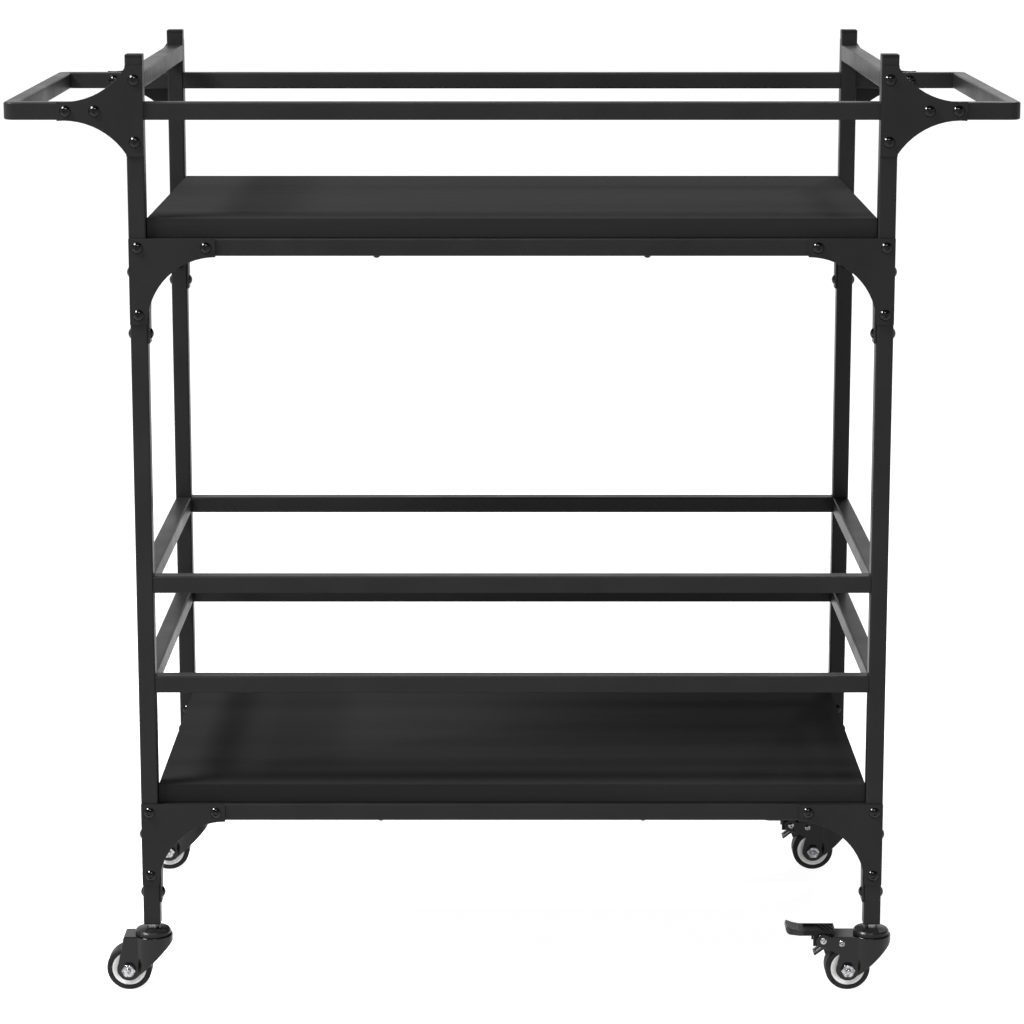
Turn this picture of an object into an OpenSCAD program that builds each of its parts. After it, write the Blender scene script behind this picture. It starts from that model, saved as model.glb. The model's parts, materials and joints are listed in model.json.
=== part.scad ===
// Bar cart on wheels: a square-tube frame with two shelf boards, guard rails round the
// lower shelf, U-shaped push handles and four swivel casters, two of them with brakes.
// Millimetres. X runs along the length, Y from the front (-) to the back (+), Z is up.
// The origin is on the floor, below the middle of the cart.

/* [Frame] */
// Length over the left and right posts
frame_w = 830; // [780:5:880]
// Depth over the front and back posts
frame_d = 450; // [400:5:480]
// Height of the post caps above the floor
cart_h = 1052; // [1050:1:1070]
// Side of the square tube
tube = 19; // [18.5:0.5:20]
// Wall thickness of the tube
tube_wall = 1.2; // [1:0.1:1.5]
// Corner radius of the tube
tube_r = 2; // [1.8:0.1:2.5]
// Height of the centre line of the front and back top rails and of the handles
handle_z = 991.2; // [985:0.1:995]
// Height of the centre line of the left and right top rails
side_rail_z = 1024.5; // [1020:0.5:1027]
// Height of the centre line of the upper guard rails
guard_high_z = 469.2; // [440:0.1:500]
// Height of the centre line of the lower guard rails
guard_low_z = 355.5; // [330:0.1:380]

/* [Shelves] */
// Height of the upper face of the top shelf's frame
top_z = 853.6; // [820:0.1:860]
// Height of the upper face of the bottom shelf's frame
bottom_z = 217.6; // [215:0.1:230]
// Thickness of the shelf boards
board_t = 21.6; // [18:0.1:25]
// Length of the shelf boards
board_w = 791; // [770:1:791]
// Depth of the shelf boards
board_d = 438; // [390:1:448]
// Distance of the board screws from the middle of the cart
screw_x = 147; // [120:0.5:220]

/* [Handles] */
// Reach of the handles beyond the posts
handle_reach = 132.5; // [110:0.5:160]
// Thickness of the handle tube, seen from above
handle_t = 16; // [15:0.5:18]
// Outer radius of the handle's corners
handle_bend = 12; // [9:0.5:14]

/* [Corner plates] */
// Thickness of the corner plates
plate_t = 2.2; // [1.5:0.1:3]
// Length of a shelf plate's legs
gusset = 94; // [90:0.5:100]
// Radius of the shelf plates' inner curve
gusset_arc = 75; // [70:0.5:75]
// Drop of a side plate's post leg below the shelf frame
side_gusset_h = 115; // [114:0.5:120]

/* [Casters] */
// Radius of the tyre
wheel_r = 25.3; // [24:0.1:25.5]
// Distance of the axle behind the swivel axis
trail = 26.6; // [25:0.1:28]
// How far the brake pedals are pressed, in degrees
pedal_press = 0; // [0:1:20]

/* [Hidden] */
$fn = 64;

left = -1;
right = 1;
front = -1;
back = 1;

// Frame lines: post centres, inner faces of the posts, ends of the shelf frames
post_x = frame_w / 2 - tube / 2;
post_y = frame_d / 2 - tube / 2;
inner_x = frame_w / 2 - tube;
inner_y = frame_d / 2 - tube;
shelf_x = inner_x - plate_t;
post_foot_z = 78;
cap_h = 4;
post_top_z = cart_h - cap_h;

// Fasteners: M6 bolts with domed heads and domed cap nuts, 4 mm board screws
bolt_r = 2.95;
bolt_hole_r = 3.1;
dome_r = 6.3;
dome_h = 3.4;
nut_bite = 2;
thread_gap = 0.05;
socket_r = 2.3;
socket_depth = 1.8;
screw_r = 2;
screw_head_r = 4.4;
screw_head_h = 3.2;
screw_bite = 13;
rail_plug_len = 16;

// Bolt places, from the outer face of a post and from the top of a shelf's frame
edge_in = tube / 2;
top_in = 10;
leg_end = 83.5;
side_bolt_high = 37.5;
side_bolt_low = 105;
side_rail_bolt = 74;
post_bolt_rise = 33.3;
arm_bolts = [42.7, 74.1];

// Outline of a handle plate, from the post's centre line
handle_plate_half = 48.6;
handle_plate_len = 83.5;
handle_plate_arc = 80;
handle_plate_arc_x = 76.5;
handle_plate_arc_z = 90;

// Caster: heights above the floor and radii about the swivel axis
axle_z = wheel_r;
fork_top_z = 63.6;
fork_t = 2.5;
fork_half = 15.5;
fork_head_r = 22.2;
fork_lobe_r = 13.3;
kingpin_r = 4;
kingpin_bore_r = 4.06;
stem_top_z = 100;
race_gap = 0.3;
race_r = 20;
ball_r = 2;
ball_ring_r = 13;
ball_count = 12;
bolt_pin_r = 3;
sleeve_r = 4;
hub_bore_r = 4.06;
nut_r = 8;
nut_t = 6;
stud_end = 2.4;
hub_r = 19.3;
hub_boss_half = 12.6;
tyre_half = 12;
tyre_shoulder = 3.2;

// Brake: pedal pivot and spare rivet, about the swivel axis and above the floor
pivot_x = -54.5;
pivot_z = 58.6;
rivet_x = -33.6;
rivet_z = 55.9;
pin_r = 2;
pin_bore_r = 2.06;
pin_head_r = 3.8;
pin_head_h = 1.8;
dimple_r = 1.4;
dimple_depth = 2.4;
pivot_lobe_r = 8.3;
brake_plate_end = -44;
pedal_half = 13.8;
pedal_tip_x = -97;
pedal_heel_x = -41.5;
pedal_top_z = 70.2;
pedal_bend_x = -78;
pedal_step_x = -64;
tray_depth = 1.4;
ear_in = 10;
ear_out = 12.6;
shoe_half = 8.5;
cam_reach = 17.7;
cam_angle = -70;

frame_black = "#2c2c2d";
plate_black = "#303031";
board_black = "#333334";
plastic_black = "#1d1d1e";
fork_black = "#2a2a2b";
tyre_black = "#1f1f20";
hub_grey = "#e4e4e2";
zinc = "#b9bbbe";

// ---- Shared shapes ----

module rounded_rect(w, d, r) {
  square([w - 2 * r, d], center = true);
  square([w, d - 2 * r], center = true);
  for (x = [-1, 1], y = [-1, 1])
    translate([x * (w / 2 - r), y * (d / 2 - r)])
      circle(r);
}

// Square tube standing on the origin
module tube_bar(len) {
  bore = tube - 2 * tube_wall;
  linear_extrude(len)
    difference() {
      rounded_rect(tube, tube, tube_r);
      rounded_rect(bore, bore, tube_r - tube_wall);
    }
}

module tube_x(len) {
  rotate([0, 90, 0])
    translate([0, 0, -len / 2])
      tube_bar(len);
}

module tube_y(len) {
  rotate([90, 0, 0])
    translate([0, 0, -len / 2])
      tube_bar(len);
}

// Draws its children at the front left corner and mirrored to the other three
module at_corners() {
  for (mx = [0, 1], my = [0, 1])
    mirror([mx, 0, 0])
      mirror([0, my, 0])
        children();
}

module hole_x(len, r) {
  rotate([0, 90, 0])
    cylinder(r = r, h = len, center = true);
}

module hole_y(len, r) {
  rotate([90, 0, 0])
    cylinder(r = r, h = len, center = true);
}

// Half section of a low dome
module dome_section(r, h) {
  ball = (r * r + h * h) / (2 * h);
  intersection() {
    translate([0, h - ball])
      circle(ball);
    square([r, h]);
  }
}

module dome(r, h) {
  rotate_extrude()
    dome_section(r, h);
}

// Domed bolt with its head above the origin and its shank below
module dome_bolt(shank) {
  difference() {
    union() {
      dome(dome_r, dome_h);
      translate([0, 0, -shank])
        cylinder(r = bolt_r, h = shank + 0.1);
    }
    translate([0, 0, dome_h - socket_depth])
      cylinder(r = socket_r, h = socket_depth + 1, $fn = 6);
  }
}

module cap_nut() {
  difference() {
    dome(dome_r, dome_h);
    translate([0, 0, -1])
      cylinder(r = bolt_r + thread_gap, h = 1 + nut_bite + thread_gap);
  }
}

// Bolt and cap nut that clamp a stack between them
module fastener(grip) {
  dome_bolt(grip + nut_bite);
  translate([0, 0, -grip])
    rotate([180, 0, 0])
      cap_nut();
}

module face_fastener(x, z, grip) {
  translate([x, -frame_d / 2 - plate_t, z])
    rotate([90, 0, 0])
      fastener(grip);
}

module side_fastener(x, y, z) {
  translate([x, y, z])
    rotate([0, -90, 0])
      fastener(tube + plate_t);
}

// ---- Posts and rails ----

module post(sx, sy) {
  shelf_tops = [top_z, bottom_z];
  color(frame_black)
    translate([sx * post_x, sy * post_y, 0])
      difference() {
        translate([0, 0, post_foot_z])
          tube_bar(post_top_z - post_foot_z);
        for (z = [handle_z - post_bolt_rise, side_rail_z])
          translate([0, 0, z])
            hole_y(tube + 2, bolt_hole_r);
        for (shelf = shelf_tops, drop = [top_in, leg_end])
          translate([0, 0, shelf - drop])
            hole_y(tube + 2, bolt_hole_r);
        for (shelf = shelf_tops, drop = [side_bolt_high, side_bolt_low])
          translate([0, 0, shelf - drop])
            hole_x(tube + 2, bolt_hole_r);
      }
}

// Plastic plug with a cap whose edges are rounded over
module post_cap() {
  plug = tube - 2 * tube_wall - 0.1;
  edge = 1.6;
  translate([0, 0, -12])
    linear_extrude(12.1)
      rounded_rect(plug, plug, tube_r - tube_wall);
  intersection() {
    linear_extrude(cap_h)
      rounded_rect(tube, tube, tube_r);
    rounded_both_ways(edge);
  }
}

module rounded_both_ways(edge) {
  intersection() {
    rotate([90, 0, 0])
      linear_extrude(tube + 2, center = true)
        cap_section(edge);
    rotate([90, 0, 90])
      linear_extrude(tube + 2, center = true)
        cap_section(edge);
  }
}

module cap_section(edge) {
  translate([0, (cap_h - 2 * edge) / 2])
    rounded_rect(tube, cap_h + 2 * edge, edge);
}

module post_caps() {
  color(plastic_black)
    at_corners()
      translate([-post_x, -post_y, post_top_z])
        post_cap();
}

// Plastic socket in the foot of each post that grips the caster's stem
module stem_sockets() {
  plug = tube - 2 * tube_wall - 0.1;
  color(plastic_black)
    at_corners()
      translate([-post_x, -post_y, 0])
        difference() {
          union() {
            translate([0, 0, post_foot_z])
              linear_extrude(26)
                rounded_rect(plug, plug, tube_r - tube_wall);
            translate([0, 0, post_foot_z - 1.5])
              linear_extrude(1.5)
                rounded_rect(tube, tube, tube_r);
          }
          translate([0, 0, post_foot_z - 2])
            cylinder(r = kingpin_r + thread_gap, h = stem_top_z - post_foot_z + 3);
        }
}

module top_rail_long(sy) {
  color(frame_black)
    translate([0, sy * post_y, handle_z])
      tube_x(2 * inner_x);
}

module top_rail_short(sx) {
  color(frame_black)
    translate([sx * post_x, 0, side_rail_z])
      tube_y(2 * inner_y);
}

// Threaded plugs in the ends of the left and right top rails
module rail_end_plugs() {
  plug = tube - 2 * tube_wall - 0.1;
  color(zinc)
    at_corners()
      translate([-post_x, -inner_y, side_rail_z])
        rotate([-90, 0, 0])
          difference() {
            linear_extrude(rail_plug_len)
              rounded_rect(plug, plug, tube_r - tube_wall);
            translate([0, 0, -1])
              cylinder(r = bolt_r + thread_gap, h = rail_plug_len - 1);
          }
}

module guard_rails_long(sy) {
  color(frame_black)
    for (z = [guard_high_z, guard_low_z])
      translate([0, sy * post_y, z])
        tube_x(2 * inner_x);
}

module guard_rails_short(sx) {
  color(frame_black)
    for (z = [guard_high_z, guard_low_z])
      translate([sx * post_x, 0, z])
        tube_y(2 * inner_y);
}

// ---- Shelves ----

module board(z) {
  color(board_black)
    difference() {
      translate([-board_w / 2, -board_d / 2, z])
        cube([board_w, board_d, board_t]);
      for (x = [-screw_x, screw_x], y = [-post_y, post_y])
        translate([x, y, z - 1])
          cylinder(r = screw_r + thread_gap, h = 1 + screw_bite + thread_gap);
    }
}

// Front or back tube of a shelf's frame
module shelf_rail_long(sy, z) {
  color(frame_black)
    translate([0, sy * post_y, z - tube / 2])
      difference() {
        tube_x(2 * shelf_x);
        for (x = [-1, 1])
          translate([x * (frame_w / 2 - leg_end), 0, tube / 2 - top_in])
            hole_y(tube + 2, bolt_hole_r);
        for (x = [-screw_x, screw_x])
          translate([x, 0, 0])
            cylinder(r = screw_r + 0.15, h = tube + 2, center = true);
      }
}

// Left or right tube of a shelf's frame
module shelf_rail_short(sx, z) {
  color(frame_black)
    translate([sx * (shelf_x - tube / 2), 0, z - tube / 2])
      difference() {
        tube_y(2 * inner_y);
        for (y = [-1, 1])
          translate([0, y * (frame_d / 2 - side_rail_bolt), tube / 2 - top_in])
            hole_x(tube + 2, bolt_hole_r);
      }
}

// Pan-head screws that hold the boards from below
module board_screws() {
  color(plastic_black)
    for (z = [top_z, bottom_z], x = [-screw_x, screw_x], y = [-post_y, post_y])
      translate([x, y, z - tube]) {
        mirror([0, 0, 1])
          dome(screw_head_r, screw_head_h);
        translate([0, 0, -0.1])
          cylinder(r = screw_r, h = tube + screw_bite + 0.1);
      }
}

// ---- Handles ----

// One U-shaped bar on the left, shrunk by inset all round, its arms longer by extra
module handle_form(inset, extra) {
  w = handle_t - 2 * inset;
  h = tube - 2 * inset;
  r = tube_r - inset;
  end_x = frame_w / 2 + handle_reach;
  corner_x = end_x - handle_bend;
  corner_y = frame_d / 2 - handle_bend;
  for (my = [0, 1])
    mirror([0, my, 0]) {
      translate([-corner_x, -frame_d / 2 + handle_t / 2, handle_z])
        rotate([0, 90, 0])
          linear_extrude(corner_x - frame_w / 2 + extra)
            rounded_rect(h, w, r);
      translate([-corner_x, -corner_y, handle_z])
        rotate([0, 0, 180])
          rotate_extrude(angle = 90)
            intersection() {
              translate([handle_bend - handle_t / 2, 0])
                rounded_rect(w, h, r);
              translate([0, -tube])
                square([2 * tube, 2 * tube]);
            }
    }
  translate([handle_t / 2 - end_x, corner_y, handle_z])
    rotate([90, 0, 0])
      linear_extrude(2 * corner_y)
        rounded_rect(w, h, r);
}

module handle() {
  color(frame_black)
    difference() {
      handle_form(0, 0);
      handle_form(tube_wall, 1);
      for (x = arm_bolts, y = [-1, 1])
        translate([-post_x - x, y * (frame_d / 2 - handle_t / 2), handle_z])
          hole_y(handle_t + 2, bolt_hole_r);
    }
}

// ---- Corner plates ----

module handle_gusset_outline() {
  difference() {
    union() {
      translate([-handle_plate_len, -handle_plate_half])
        square([handle_plate_len, 2 * handle_plate_half]);
      translate([-edge_in, -handle_plate_half])
        square([tube, 2 * handle_plate_half]);
    }
    for (z = [-1, 1])
      translate([-handle_plate_arc_x, z * handle_plate_arc_z])
        intersection() {
          circle(r = handle_plate_arc, $fn = 128);
          translate([-handle_plate_arc, -handle_plate_arc])
            square([handle_plate_arc + handle_plate_arc_x - edge_in, 2 * handle_plate_arc]);
        }
    for (z = [-post_bolt_rise, post_bolt_rise])
      translate([0, z])
        circle(bolt_hole_r);
    for (x = arm_bolts)
      translate([-x, 0])
        circle(bolt_hole_r);
  }
}

module handle_gussets() {
  color(plate_black)
    at_corners()
      translate([-post_x, -frame_d / 2, handle_z])
        rotate([90, 0, 0])
          linear_extrude(plate_t)
            handle_gusset_outline();
}

// Plate on the front or back face, its corner at the post's outer edge and the frame's top
module face_gusset_outline() {
  difference() {
    translate([0, -gusset])
      square(gusset);
    translate([gusset, -gusset - 1])
      circle(r = gusset_arc, $fn = 128);
    for (p = [[edge_in, top_in], [leg_end, top_in], [edge_in, leg_end]])
      translate([p[0], -p[1]])
        circle(bolt_hole_r);
  }
}

module face_gussets(z) {
  color(plate_black)
    at_corners()
      translate([-frame_w / 2, -frame_d / 2, z])
        rotate([90, 0, 0])
          linear_extrude(plate_t)
            face_gusset_outline();
}

// Plate between a post's inner face and the end tube of the shelf's frame
module side_gusset_outline() {
  difference() {
    union() {
      translate([0, -gusset])
        square(gusset);
      translate([0, -side_gusset_h])
        square([tube, side_gusset_h]);
    }
    intersection() {
      translate([gusset, -gusset - 1])
        circle(r = gusset_arc, $fn = 128);
      translate([tube, -gusset - 1])
        square(gusset);
    }
    for (p = [[edge_in, side_bolt_high], [edge_in, side_bolt_low], [side_rail_bolt, top_in]])
      translate([p[0], -p[1]])
        circle(bolt_hole_r);
  }
}

module side_gussets(z) {
  color(plate_black)
    at_corners()
      translate([-inner_x, -frame_d / 2, z])
        rotate([90, 0, 90])
          linear_extrude(plate_t)
            side_gusset_outline();
}

// ---- Bolts ----

module handle_bolts() {
  color(plastic_black)
    at_corners() {
      face_fastener(-post_x, handle_z - post_bolt_rise, tube + plate_t);
      for (x = arm_bolts)
        face_fastener(-post_x - x, handle_z, handle_t + plate_t);
      translate([-post_x, -frame_d / 2 - plate_t, side_rail_z])
        rotate([90, 0, 0])
          dome_bolt(plate_t + tube + rail_plug_len - 4);
    }
}

module shelf_bolts(z) {
  color(plastic_black)
    at_corners() {
      face_fastener(-post_x, z - top_in, tube + plate_t);
      face_fastener(-post_x, z - leg_end, tube + plate_t);
      face_fastener(leg_end - frame_w / 2, z - top_in, tube + plate_t);
      side_fastener(-frame_w / 2, -post_y, z - side_bolt_high);
      side_fastener(-frame_w / 2, -post_y, z - side_bolt_low);
      side_fastener(-inner_x, side_rail_bolt - frame_d / 2, z - top_in);
    }
}

// ---- Casters, drawn about their swivel axis ----

module at_caster(sx, sy) {
  translate([sx * post_x, sy * post_y, 0])
    children();
}

// Threaded stem with a hexagon collar, the upper bearing race and the peened kingpin
module caster_stem() {
  race_z = fork_top_z + race_gap;
  groove_r = ball_r + 0.2;
  groove_z = race_z + 2 * ball_r + 0.2;
  crown_z = race_z + 7;
  collar_z = race_z + 12;
  kingpin_z = fork_top_z - fork_t - race_gap;
  rotate_extrude()
    polygon([
      [0, kingpin_z - 3.5], [7.5, kingpin_z - 3.5], [7.5, kingpin_z],
      [kingpin_r, kingpin_z], [kingpin_r, race_z],
      [ball_ring_r - groove_r, race_z], [ball_ring_r - groove_r, groove_z],
      [ball_ring_r + groove_r, groove_z], [ball_ring_r + groove_r, race_z],
      [race_r, race_z], [race_r, race_z + 3.6], [race_r - 1.6, race_z + 5.4],
      [9, crown_z], [0, crown_z]
    ]);
  translate([0, 0, crown_z - 0.1])
    cylinder(r = 7, h = collar_z - crown_z + 0.1, $fn = 6);
  translate([0, 0, collar_z - 0.1])
    cylinder(r = kingpin_r, h = stem_top_z - collar_z + 0.1);
}

module caster_stems() {
  color(fork_black)
    at_corners()
      translate([-post_x, -post_y, 0])
        caster_stem();
}

module swivel_balls() {
  color(zinc)
    at_corners()
      translate([-post_x, -post_y, fork_top_z + race_gap + ball_r + 0.1])
        for (i = [0 : ball_count - 1])
          rotate([0, 0, i * 360 / ball_count])
            translate([ball_ring_r, 0, 0])
              sphere(ball_r, $fn = 24);
}

// Side view of the fork; the brake's arms reach out to the pedal's pivot
module fork_side(braked) {
  translate([-trail, axle_z])
    circle(fork_lobe_r);
  polygon([
    [-32, fork_top_z], [-36, 43], [-trail - fork_lobe_r, axle_z],
    [-trail, axle_z], [-16.5, 16.6], [fork_head_r + 1, 56], [fork_head_r + 1, fork_top_z]
  ]);
  if (braked) {
    translate([pivot_x, pivot_z])
      circle(pivot_lobe_r);
    polygon([
      [pivot_x, fork_top_z], [pivot_x, pivot_z - pivot_lobe_r],
      [-36, 43], [-30, fork_top_z]
    ]);
  }
}

// View of the fork from above, shrunk by inset: two cheeks that wrap round the head
module fork_plan(inset) {
  half = fork_half - inset;
  translate([-80, -half])
    square([80, 2 * half]);
  circle(fork_head_r - inset);
}

module fork(braked) {
  under_z = fork_top_z - fork_t;
  color(fork_black)
    difference() {
      intersection() {
        linear_extrude(80)
          fork_plan(0);
        rotate([90, 0, 0])
          linear_extrude(60, center = true)
            fork_side(braked);
      }
      translate([0, 0, -1])
        linear_extrude(under_z + 1)
          fork_plan(fork_t);
      cylinder(r = kingpin_bore_r, h = 80);
      translate([-trail, 0, axle_z])
        hole_y(60, bolt_pin_r + thread_gap);
      if (braked) {
        translate([-90, -fork_half + fork_t, under_z - 1])
          cube([90 + brake_plate_end, 2 * (fork_half - fork_t), 20]);
        translate([pivot_x, 0, pivot_z])
          hole_y(60, pin_r + thread_gap);
        translate([rivet_x, 0, rivet_z])
          hole_y(60, pin_r + thread_gap);
      }
    }
}

// Hexagon with its outer corners turned down, on a thin washer face
module hex_form(t) {
  intersection() {
    cylinder(r = nut_r, h = t, $fn = 6);
    rotate_extrude()
      polygon([
        [0, 0], [nut_r - 0.7, 0], [nut_r - 0.7, 0.6], [nut_r, 0.9],
        [nut_r, t - 1.6], [nut_r - 1.7, t], [0, t]
      ]);
  }
}

// Stud along Z, centred, with rounded ends
module round_ended(r, len) {
  edge = 0.8;
  rotate_extrude() {
    square([r - edge, len / 2]);
    square([r, len / 2 - edge]);
    translate([r - edge, len / 2 - edge])
      circle(edge);
  }
}

// Axle stud with a sleeve for the hub and a nut on each end
module axle() {
  color(zinc)
    translate([-trail, 0, axle_z])
      rotate([90, 0, 0]) {
        cylinder(r = sleeve_r, h = 2 * (fork_half - fork_t), center = true);
        for (mz = [0, 1])
          mirror([0, 0, mz]) {
            round_ended(bolt_pin_r, 2 * (fork_half + nut_t + stud_end));
            translate([0, 0, fork_half])
              difference() {
                hex_form(nut_t);
                translate([0, 0, -1])
                  cylinder(r = bolt_pin_r + thread_gap, h = nut_t + 2);
              }
          }
      }
}

module hub() {
  color(hub_grey)
    translate([-trail, 0, axle_z])
      rotate([90, 0, 0])
        rotate_extrude()
          polygon([
            [hub_bore_r, -hub_boss_half], [7, -hub_boss_half], [7, -7.5], [9, -7],
            [16.8, -10.6], [17.6, -11.3], [hub_r, -11.3],
            [hub_r, 11.3], [17.6, 11.3], [16.8, 10.6],
            [9, 7], [7, 7.5], [7, hub_boss_half], [hub_bore_r, hub_boss_half]
          ]);
}

module tyre() {
  tread = wheel_r - hub_r;
  color(tyre_black)
    translate([-trail, 0, axle_z])
      rotate([90, 0, 0])
        rotate_extrude() {
          translate([hub_r, -tyre_half])
            square([tread - tyre_shoulder, 2 * tyre_half]);
          translate([hub_r, tyre_shoulder - tyre_half])
            square([tread, 2 * (tyre_half - tyre_shoulder)]);
          for (y = [-1, 1])
            translate([wheel_r - tyre_shoulder, y * (tyre_half - tyre_shoulder)])
              circle(tyre_shoulder);
        }
}

// ---- Brakes ----

// Tubular rivet: a dimple is left in each rolled head
module rivet(x, z) {
  translate([x, 0, z])
    difference() {
      union() {
        hole_y(2 * fork_half + 0.2, pin_r);
        for (y = [0, 1])
          mirror([0, y, 0])
            translate([0, -fork_half, 0])
              rotate([90, 0, 0])
                dome(pin_head_r, pin_head_h);
      }
      for (y = [-1, 1])
        translate([0, y * (fork_half + pin_head_h), 0])
          hole_y(2 * dimple_depth, dimple_r);
    }
}

module brake_pins() {
  color(zinc) {
    rivet(pivot_x, pivot_z);
    rivet(rivet_x, rivet_z);
  }
}

// Turns its children about the pedal's pivot as the pedal is pressed
module pressed() {
  translate([pivot_x, 0, pivot_z])
    rotate([0, -pedal_press, 0])
      translate([-pivot_x, 0, -pivot_z])
        children();
}

// Side view of the pedal: flat over the pivot, with a blunt tip that curves up and is ribbed
module pedal_side() {
  top_arc = 36;
  nose_r = 5.5;
  nose_x = pedal_tip_x + nose_r;
  nose_z = 71.3;
  under_z = 64.6;
  rib_pitch = 2.2;
  difference() {
    union() {
      translate([nose_x, nose_z])
        circle(nose_r);
      polygon([
        [nose_x, nose_z + nose_r], [nose_x, nose_z - nose_r], [pedal_bend_x - 4, under_z],
        [pedal_step_x, under_z], [pedal_step_x, nose_z + nose_r]
      ]);
    }
    translate([pedal_bend_x, pedal_top_z + top_arc])
      circle(top_arc);
    translate([pedal_bend_x, pedal_top_z])
      square([30, 30]);
  }
  translate([pedal_bend_x, pedal_top_z - 3])
    square([pedal_heel_x - pedal_bend_x, 3]);
  for (i = [0 : 5]) {
    reach = 5.5 + i * rib_pitch;
    drop = sqrt(top_arc * top_arc - reach * reach);
    translate([pedal_bend_x - reach, pedal_top_z + top_arc - drop])
      circle(0.6);
  }
}

module pedal_plan() {
  corner = 6;
  len = pedal_heel_x - pedal_tip_x;
  for (y = [-1, 1])
    translate([pedal_tip_x + corner, y * (pedal_half - corner)])
      circle(corner);
  translate([pedal_tip_x, corner - pedal_half])
    square([len, 2 * (pedal_half - corner)]);
  translate([pedal_tip_x + corner, -pedal_half])
    square([len - corner, 2 * pedal_half]);
}

// Shallow tray in the top of the pedal, crossed by slanted ribs near the heel
module pedal_tray() {
  rim = 1.8;
  rib_x = pedal_heel_x - 13;
  difference() {
    translate([pedal_bend_x + 2, rim - pedal_half, pedal_top_z - tray_depth])
      cube([pedal_heel_x - pedal_bend_x - 2 - rim, 2 * (pedal_half - rim), tray_depth + 1]);
    for (i = [0 : 2])
      translate([rib_x + i * 4.6, 0, pedal_top_z - 1])
        rotate([0, 0, 20])
          cube([1.4, 3 * pedal_half, 4], center = true);
  }
}

module ear_side() {
  translate([pivot_x, pivot_z])
    circle(6.6);
  translate([pivot_x - 11.5, pivot_z])
    square([17.5, 9]);
  translate([pivot_x - 11.5, pivot_z - 6.6])
    square([11.5, 7]);
}

module pedal() {
  color(plastic_black)
    pressed()
      difference() {
        union() {
          intersection() {
            rotate([90, 0, 0])
              linear_extrude(2 * pedal_half, center = true)
                pedal_side();
            linear_extrude(90)
              pedal_plan();
          }
          for (y = [-ear_in, ear_out])
            translate([0, y, 0])
              rotate([90, 0, 0])
                linear_extrude(ear_out - ear_in)
                  ear_side();
        }
        pedal_tray();
        translate([pivot_x, 0, pivot_z])
          hole_y(60, pin_bore_r);
      }
}

// Side view of the brake shoe: a cam that meets the tread, and a tongue
module shoe_side() {
  translate([pivot_x, pivot_z])
    intersection() {
      circle(cam_reach);
      rotate(cam_angle)
        translate([0, -3.5])
          square([20, 7]);
    }
  translate([-51.5, 51.5])
    rotate(-143)
      square([17, 2.4]);
}

module brake_shoe() {
  color(fork_black)
    pressed()
      difference() {
        union() {
          rotate([90, 0, 0])
            linear_extrude(2 * shoe_half, center = true)
              shoe_side();
          translate([pivot_x, 0, pivot_z])
            hole_y(2 * ear_in, 5);
        }
        translate([pivot_x, 0, pivot_z])
          hole_y(60, pin_bore_r);
        translate([-58, 0, 46.6])
          rotate([0, 37, 0])
            cube([6, 7, 12], center = true);
      }
}

post(left, front);  // post_front_left
post(right, front);  // post_front_right
post(left, back);  // post_back_left
post(right, back);  // post_back_right
post_caps();
stem_sockets();
top_rail_long(front);  // top_rail_front
top_rail_long(back);  // top_rail_back
top_rail_short(left);  // top_rail_left
top_rail_short(right);  // top_rail_right
rail_end_plugs();
guard_rails_long(front);  // guard_rails_front
guard_rails_long(back);  // guard_rails_back
guard_rails_short(left);  // guard_rails_left
guard_rails_short(right);  // guard_rails_right
board(top_z);  // top_board
board(bottom_z);  // bottom_board
shelf_rail_long(front, top_z);  // top_frame_front
shelf_rail_long(back, top_z);  // top_frame_back
shelf_rail_short(left, top_z);  // top_frame_left
shelf_rail_short(right, top_z);  // top_frame_right
shelf_rail_long(front, bottom_z);  // bottom_frame_front
shelf_rail_long(back, bottom_z);  // bottom_frame_back
shelf_rail_short(left, bottom_z);  // bottom_frame_left
shelf_rail_short(right, bottom_z);  // bottom_frame_right
handle();  // handle_left
mirror([1, 0, 0]) handle();  // handle_right
handle_gussets();
face_gussets(top_z);  // top_face_gussets
side_gussets(top_z);  // top_side_gussets
face_gussets(bottom_z);  // bottom_face_gussets
side_gussets(bottom_z);  // bottom_side_gussets
handle_bolts();
shelf_bolts(top_z);  // top_shelf_bolts
shelf_bolts(bottom_z);  // bottom_shelf_bolts
board_screws();
caster_stems();
swivel_balls();
at_caster(left, front) fork(false);  // fork_front_left
at_caster(right, front) fork(true);  // fork_front_right
at_caster(left, back) fork(false);  // fork_back_left
at_caster(right, back) fork(true);  // fork_back_right
at_caster(left, front) axle();  // axle_front_left
at_caster(right, front) axle();  // axle_front_right
at_caster(left, back) axle();  // axle_back_left
at_caster(right, back) axle();  // axle_back_right
at_caster(left, front) hub();  // hub_front_left
at_caster(right, front) hub();  // hub_front_right
at_caster(left, back) hub();  // hub_back_left
at_caster(right, back) hub();  // hub_back_right
at_caster(left, front) tyre();  // tyre_front_left
at_caster(right, front) tyre();  // tyre_front_right
at_caster(left, back) tyre();  // tyre_back_left
at_caster(right, back) tyre();  // tyre_back_right
at_caster(right, front) brake_pins();  // brake_pins_front_right
at_caster(right, back) brake_pins();  // brake_pins_back_right
at_caster(right, front) brake_shoe();  // brake_shoe_front_right
at_caster(right, back) brake_shoe();  // brake_shoe_back_right
at_caster(right, front) pedal();  // pedal_front_right
at_caster(right, back) pedal();  // pedal_back_right
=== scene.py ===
"""Bar cart on wheels: looks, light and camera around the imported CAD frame."""
import json
import math

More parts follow.
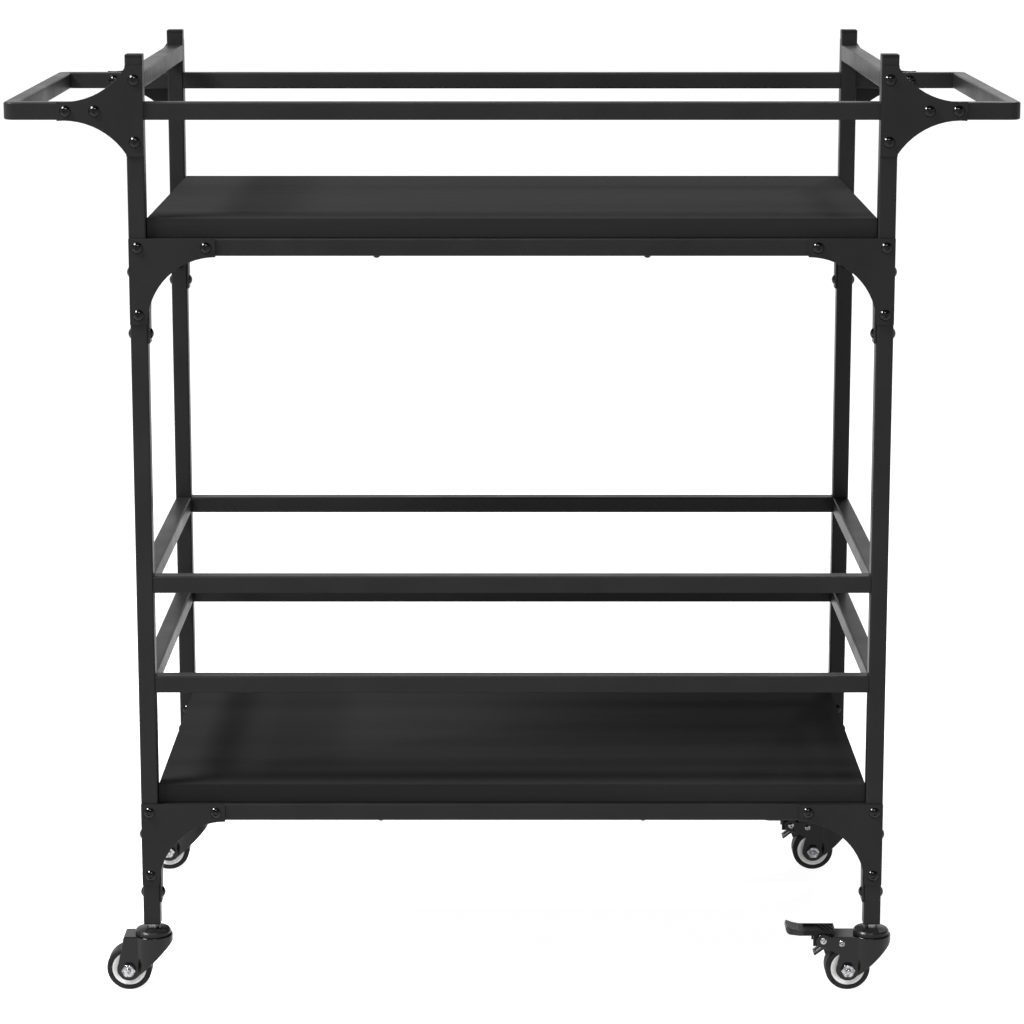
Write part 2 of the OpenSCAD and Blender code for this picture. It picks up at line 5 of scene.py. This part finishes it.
import bpy
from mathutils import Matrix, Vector


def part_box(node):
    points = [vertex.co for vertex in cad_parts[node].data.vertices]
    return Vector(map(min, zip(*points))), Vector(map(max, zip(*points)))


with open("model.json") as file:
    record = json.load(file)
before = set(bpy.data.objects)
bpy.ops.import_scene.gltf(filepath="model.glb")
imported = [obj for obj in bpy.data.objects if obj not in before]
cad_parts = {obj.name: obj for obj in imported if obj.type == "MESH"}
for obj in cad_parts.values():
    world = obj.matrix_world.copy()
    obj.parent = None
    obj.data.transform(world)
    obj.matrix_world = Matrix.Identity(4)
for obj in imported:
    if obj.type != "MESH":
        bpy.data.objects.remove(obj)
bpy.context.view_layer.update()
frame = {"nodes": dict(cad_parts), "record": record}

NODES = frame["nodes"]

# Camera, in metres and degrees, in the cart's own frame
CAMERA_BACK = 3.700
CAMERA_HEIGHT = 1.287
CAMERA_TILT = 10.86
LENS_MM = 113.6
SHIFT_UP = -0.06

# Studio light: strength round the sides and overhead. One turns into the other between two angles
# above the horizon, given as sines
WORLD_SIDES = 1.12
WORLD_TOP = 0.06
SIDES_END = 0.28
TOP_START = 0.62

# Softboxes: name, place and size in metres, and power in watts
LIGHT_TARGET = (0.0, 0.0, 0.55)
SOFTBOXES = (
    ("key", (-2.3, -0.8, 3.3), (1.0, 1.0), 365.0),
    ("front", (0.0, -2.6, 3.6), (1.8, 0.4), 65.0),
    ("back", (1.2, 2.6, 3.2), (0.30, 0.30), 35.0),
)

# Floor, with enough glow of its own to read as white
FLOOR_SIZE = 60.0
FLOOR_TONE = 0.42
FLOOR_MOTTLE = 0.01
FLOOR_GLOW = 0.90
WHITE = (1.0, 1.0, 1.0, 1.0)

# Height of the underside of the casters' collars, in metres
COLLAR_HEIGHT = 0.0710
# Length of a brake pedal's ribbed tip, which is painted paler as a painted highlight for the light
# its upturned face catches, and of the change to the darker tray, in metres
PAINTED_TIP_LENGTH = 0.020
PAINTED_TIP_FADE = 0.001

# Rounded edges: points closer than the gap, in metres, count as one point, and faces that
# meet at less than the flat angle, in degrees, as one face
WELD_GAP = 5e-5
FLAT_ANGLE = 1.0
SHARP_ANGLE = 40.0
ROUND_SEGMENTS = 2
LARGE_FACE_WEIGHT = 80


# ---- Shader helpers ----

class Paint:
    """A material with a Principled shader and short calls for the nodes that feed it."""

    def __init__(self, name):
        self.material = bpy.data.materials.new(name)
        self.material.use_nodes = True
        self.tree = self.material.node_tree
        self.bsdf = self.tree.nodes["Principled BSDF"]
        self.place = self.tree.nodes.new("ShaderNodeTexCoord").outputs["Object"]

    def node(self, kind, **values):
        made = self.tree.nodes.new(kind)
        for key, value in values.items():
            setattr(made, key, value)
        return made

    def link(self, a, b):
        self.tree.links.new(a, b)

    def stretched(self, scale):
        """The object's own coordinates, scaled along each axis."""
        mapping = self.node("ShaderNodeMapping")
        mapping.inputs["Scale"].default_value = scale
        self.link(self.place, mapping.inputs["Vector"])
        return mapping.outputs["Vector"]

    def along(self, axis):
        """The object's own coordinate along one axis."""
        parts = self.node("ShaderNodeSeparateXYZ")
        self.link(self.place, parts.inputs["Vector"])
        return parts.outputs[axis]

    def noise(self, scale, detail=3.0, stretch=None, rough=0.55):
        made = self.node("ShaderNodeTexNoise")
        made.inputs["Scale"].default_value = scale
        made.inputs["Detail"].default_value = detail
        made.inputs["Roughness"].default_value = rough
        self.link(self.stretched(stretch) if stretch else self.place, made.inputs["Vector"])
        return made.outputs["Fac"]

    def spread(self, value, low, high, start=0.3, end=0.7):
        """Maps a value's range from start to end onto low to high."""
        made = self.node("ShaderNodeMapRange")
        made.inputs["From Min"].default_value = start
        made.inputs["From Max"].default_value = end
        made.inputs["To Min"].default_value = low
        made.inputs["To Max"].default_value = high
        self.link(value, made.inputs["Value"])
        return made.outputs["Result"]

    def blend(self, value, dark, light, start=0.3, end=0.7):
        """Maps a value's range from start to end onto two colours."""
        ramp = self.node("ShaderNodeValToRGB")
        ramp.color_ramp.elements[0].position = start
        ramp.color_ramp.elements[0].color = (*dark, 1.0)
        ramp.color_ramp.elements[1].position = end
        ramp.color_ramp.elements[1].color = (*light, 1.0)
        self.link(value, ramp.inputs["Fac"])
        return ramp.outputs["Color"]

    def mixed(self, share, first, second):
        """The first colour where the share is 0, and the second where it is 1."""
        made = self.node("ShaderNodeMix", data_type="RGBA")
        self.link(share, made.inputs["Factor"])
        self.link(first, made.inputs["A"])
        self.link(second, made.inputs["B"])
        return made.outputs["Result"]

    def add(self, a, b, share):
        """a plus a share of b."""
        made = self.node("ShaderNodeMath", operation="MULTIPLY_ADD")
        self.link(b, made.inputs[0])
        made.inputs[1].default_value = share
        self.link(a, made.inputs[2])
        return made.outputs["Value"]

    def bump(self, value, depth, strength=1.0):
        made = self.node("ShaderNodeBump")
        made.inputs["Strength"].default_value = strength
        made.inputs["Distance"].default_value = depth
        self.link(value, made.inputs["Height"])
        self.link(made.outputs["Normal"], self.bsdf.inputs["Normal"])

    def set(self, **values):
        for key, value in values.items():
            self.bsdf.inputs[key.replace("_", " ")].default_value = value

    def colour(self, socket):
        self.link(socket, self.bsdf.inputs["Base Color"])

    def roughness(self, socket):
        self.link(socket, self.bsdf.inputs["Roughness"])

    def metallic(self, socket):
        self.link(socket, self.bsdf.inputs["Metallic"])


def grey(value):
    return (value, value, value)


# ---- Materials ----

def powder_coat(name, tone, gloss, low, high):
    """Black powder coat: a fine orange peel with faint clouds in tone and gloss."""
    paint = Paint(name)
    clouds = paint.noise(14.0, detail=4.0)
    peel = paint.noise(900.0, detail=2.0)
    paint.colour(paint.blend(clouds, grey(tone * 0.86), grey(tone * 1.14)))
    paint.roughness(paint.spread(paint.add(clouds, peel, share=0.25), low, high, start=0.35, end=0.9))
    paint.bump(peel, depth=0.00006, strength=0.55)
    paint.set(Specular_IOR_Level=gloss)
    return paint.material


def board_laminate():
    """Matt black laminate with a faint grain that runs along the cart."""
    paint = Paint("board_laminate")
    grain = paint.noise(90.0, detail=5.0, stretch=(0.05, 1.6, 1.6), rough=0.6)
    bands = paint.noise(5.0, detail=2.0, stretch=(0.16, 1.0, 1.0))
    pores = paint.noise(600.0, detail=2.0, stretch=(0.12, 1.0, 1.0))
    tone = paint.add(bands, grain, share=0.35)
    paint.colour(paint.blend(tone, grey(0.0100), grey(0.0145), start=0.5, end=0.85))
    sheen = paint.add(grain, bands, share=0.6)
    paint.roughness(paint.spread(sheen, 0.68, 0.82, start=0.55, end=1.0))
    paint.bump(paint.add(grain, pores, share=0.5), depth=0.00008, strength=0.5)
    paint.set(Specular_IOR_Level=0.014)
    return paint.material


def glossy_black():
    """Black bolt heads: smooth, with a faint plating ripple."""
    paint = Paint("bolt_gloss_black")
    ripple = paint.noise(420.0)
    paint.colour(paint.blend(ripple, grey(0.0008), grey(0.0016)))
    paint.roughness(paint.spread(ripple, 0.10, 0.16))
    paint.bump(ripple, depth=0.00004, strength=0.5)
    paint.set(Specular_IOR_Level=0.20)
    return paint.material


def cap_plastic():
    """Moulded black plastic with a fine spark texture."""
    paint = Paint("cap_plastic")
    tone = 0.0045
    spark = paint.noise(1400.0, detail=2.0)
    clouds = paint.noise(60.0, detail=2.0)
    paint.colour(paint.blend(clouds, grey(tone * 0.85), grey(tone * 1.15)))
    paint.roughness(paint.spread(spark, 0.38, 0.50))
    paint.bump(spark, depth=0.00008, strength=0.6)
    paint.set(Specular_IOR_Level=0.10)
    return paint.material


def pedal_plastic_painted_tip():
    """Moulded black plastic, with painted light: the ribbed tip is painted paler for the light its
    upturned face catches.
    """
    paint = Paint("pedal_plastic_painted_tip")
    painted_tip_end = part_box("pedal_front_right")[0][0] + PAINTED_TIP_LENGTH
    beyond_painted_tip = paint.spread(paint.along("X"), 0.0, 1.0, start=painted_tip_end - PAINTED_TIP_FADE, end=painted_tip_end)
    spark = paint.noise(1600.0, detail=2.0)
    clouds = paint.noise(160.0)
    # Painted highlight: the tip's colour is much paler than the tray's and stands for the light on
    # the upturned tip
    paint.colour(paint.mixed(
        beyond_painted_tip,
        paint.blend(clouds, grey(0.012), grey(0.024)),
        paint.blend(clouds, grey(0.0015), grey(0.0030)),
    ))
    paint.roughness(paint.spread(spark, 0.24, 0.36))
    paint.bump(spark, depth=0.00008, strength=0.6)
    paint.set(Specular_IOR_Level=0.12)
    return paint.material


def zinc_plate():
    """Bright zinc: fine scratches and slightly uneven plating."""
    paint = Paint("zinc_plate")
    clouds = paint.noise(300.0)
    lines = paint.noise(1500.0, detail=2.0, stretch=(1.0, 0.08, 1.0))
    paint.colour(paint.blend(clouds, (0.05, 0.051, 0.054), (0.46, 0.465, 0.48)))
    wear = paint.add(clouds, lines, share=0.5)
    paint.roughness(paint.spread(wear, 0.10, 0.26, start=0.4, end=1.1))
    paint.bump(lines, depth=0.00003, strength=0.5)
    paint.set(Metallic=1.0)
    return paint.material


def stem_finish():
    """Black painted head, with a zinc collar and thread above it."""
    paint = Paint("caster_stem")
    above = paint.node("ShaderNodeMath", operation="GREATER_THAN")
    above.inputs[1].default_value = COLLAR_HEIGHT
    paint.link(paint.along("Z"), above.inputs[0])
    bare = above.outputs["Value"]
    clouds = paint.noise(220.0)
    paint.metallic(bare)
    paint.colour(paint.mixed(
        bare,
        paint.blend(clouds, grey(0.007), grey(0.011)),
        paint.blend(clouds, grey(0.14), grey(0.24)),
    ))
    paint.roughness(paint.spread(clouds, 0.20, 0.34))
    paint.bump(paint.noise(900.0, detail=2.0), depth=0.00004, strength=0.5)
    paint.set(Specular_IOR_Level=0.12)
    return paint.material


def hub_plastic():
    """Pale moulded plastic."""
    paint = Paint("hub_plastic")
    clouds = paint.noise(90.0)
    fine = paint.noise(1300.0, detail=2.0)
    paint.colour(paint.blend(clouds, (0.52, 0.52, 0.51), (0.62, 0.62, 0.61)))
    paint.roughness(paint.spread(fine, 0.36, 0.5))
    paint.bump(fine, depth=0.00005, strength=0.5)
    return paint.material


def tyre_rubber():
    """Black rubber with a dull bloom."""
    paint = Paint("tyre_rubber")
    bloom = paint.noise(70.0, detail=4.0)
    fine = paint.noise(1100.0)
    paint.colour(paint.blend(bloom, grey(0.006), grey(0.013)))
    paint.roughness(paint.spread(paint.add(bloom, fine, share=0.3), 0.45, 0.65, start=0.4, end=0.95))
    paint.bump(fine, depth=0.0001, strength=0.6)
    paint.set(Specular_IOR_Level=0.1)
    return paint.material


SLOT_MATERIALS = {
    "frame_black": powder_coat("frame_powder_coat", tone=0.0086, gloss=0.11, low=0.32, high=0.46),
    "plate_black": powder_coat("plate_powder_coat", tone=0.0080, gloss=0.11, low=0.34, high=0.48),
    "board_black": board_laminate(),
    "bolt_black": glossy_black(),
    "cap_black": cap_plastic(),
    "fork_black": powder_coat("fork_paint", tone=0.0030, gloss=0.22, low=0.12, high=0.22),
    "pedal_black": pedal_plastic_painted_tip(),
    "zinc": zinc_plate(),
    "hub_white": hub_plastic(),
    "tyre_black": tyre_rubber(),
}

# Width of the rounded edges in metres, by the start of the node's name
EDGE_WIDTHS = {
    "top_board": 0.0008,
    "bottom_board": 0.0008,
    "handle_gussets": 0.0003,
    "top_face_gussets": 0.0003,
    "bottom_face_gussets": 0.0003,
    "top_side_gussets": 0.0003,
    "bottom_side_gussets": 0.0003,
    "fork": 0.0012,
    "pedal": 0.0003,
    "brake_shoe": 0.0003,
    "axle": 0.00015,
    "hub": 0.0004,
}


# ---- CAD nodes ----

def round_edges(node, width):
    """A fine round on the sharp edges. The faces between them stay flat to the light."""
    bpy.context.view_layer.objects.active = node
    if node.data.has_custom_normals:
        bpy.ops.mesh.customdata_custom_splitnormals_clear()
    node.data.shade_smooth()
    weld = node.modifiers.new("weld", "WELD")
    weld.merge_threshold = WELD_GAP
    flat = node.modifiers.new("flat", "DECIMATE")
    flat.decimate_type = "DISSOLVE"
    flat.angle_limit = math.radians(FLAT_ANGLE)
    bevel = node.modifiers.new("bevel", "BEVEL")
    bevel.width = width
    bevel.segments = ROUND_SEGMENTS
    bevel.limit_method = "ANGLE"
    bevel.angle_limit = math.radians(SHARP_ANGLE)
    bevel.use_clamp_overlap = False
    normals = node.modifiers.new("normals", "WEIGHTED_NORMAL")
    normals.mode = "FACE_AREA_WITH_ANGLE"
    normals.weight = LARGE_FACE_WEIGHT
    normals.keep_sharp = False


def finish_cad_nodes():
    """Gives every CAD node its material, and rounds the edges that catch the light."""
    slots = {row["node"]: row["material_slot"] for row in frame["record"]["subparts"]}
    stem = stem_finish()
    for name, node in NODES.items():
        material = stem if name == "caster_stems" else SLOT_MATERIALS[slots[name]]
        node.data.materials.clear()
        node.data.materials.append(material)
        width = next((w for start, w in EDGE_WIDTHS.items() if name.startswith(start)), None)
        if width:
            round_edges(node, width)


# ---- Stage, light and camera ----

def add_floor():
    bpy.ops.mesh.primitive_plane_add(size=FLOOR_SIZE, location=(0, 0, 0))
    floor = bpy.context.object
    floor.name = "floor"
    paint = Paint("floor_paper")
    paint.colour(paint.blend(paint.noise(3.0), grey(FLOOR_TONE - FLOOR_MOTTLE), grey(FLOOR_TONE)))
    paint.set(
        Roughness=0.9,
        Specular_IOR_Level=0.1,
        Emission_Strength=FLOOR_GLOW,
        Emission_Color=WHITE,
    )
    floor.data.materials.append(paint.material)


def add_world():
    """Soft studio: white round the sides, and darker overhead so that metal has something to show."""
    world = bpy.data.worlds.new("studio")
    bpy.context.scene.world = world
    world.use_nodes = True
    nodes = world.node_tree.nodes
    links = world.node_tree.links
    place = nodes.new("ShaderNodeTexCoord")
    parts = nodes.new("ShaderNodeSeparateXYZ")
    ramp = nodes.new("ShaderNodeMapRange")
    ramp.inputs["From Min"].default_value = SIDES_END
    ramp.inputs["From Max"].default_value = TOP_START
    ramp.inputs["To Min"].default_value = WORLD_SIDES
    ramp.inputs["To Max"].default_value = WORLD_TOP
    links.new(place.outputs["Generated"], parts.inputs["Vector"])
    links.new(parts.outputs["Z"], ramp.inputs["Value"])
    links.new(ramp.outputs["Result"], nodes["Background"].inputs["Strength"])
    nodes["Background"].inputs["Color"].default_value = WHITE


def add_softbox(name, place, size, watts):
    """A rectangular area light that faces the middle of the cart."""
    light = bpy.data.lights.new(name, "AREA")
    light.shape = "RECTANGLE"
    light.size, light.size_y = size
    light.energy = watts
    lamp = bpy.data.objects.new(name, light)
    bpy.context.scene.collection.objects.link(lamp)
    lamp.location = place
    aim = Vector(LIGHT_TARGET) - Vector(place)
    lamp.rotation_euler = aim.to_track_quat("-Z", "Y").to_euler()


def add_camera():
    camera = bpy.data.cameras.new("camera")
    camera.lens = LENS_MM
    camera.shift_y = SHIFT_UP
    camera.clip_end = 100.0
    holder = bpy.data.objects.new("camera", camera)
    bpy.context.scene.collection.objects.link(holder)
    holder.location = (0.0, -CAMERA_BACK, CAMERA_HEIGHT)
    holder.rotation_euler = (math.radians(90.0 - CAMERA_TILT), 0.0, 0.0)
    bpy.context.scene.camera = holder


bpy.context.scene.view_settings.view_transform = "Standard"
add_camera()
add_world()
for softbox in SOFTBOXES:
    add_softbox(*softbox)
add_floor()
finish_cad_nodes()
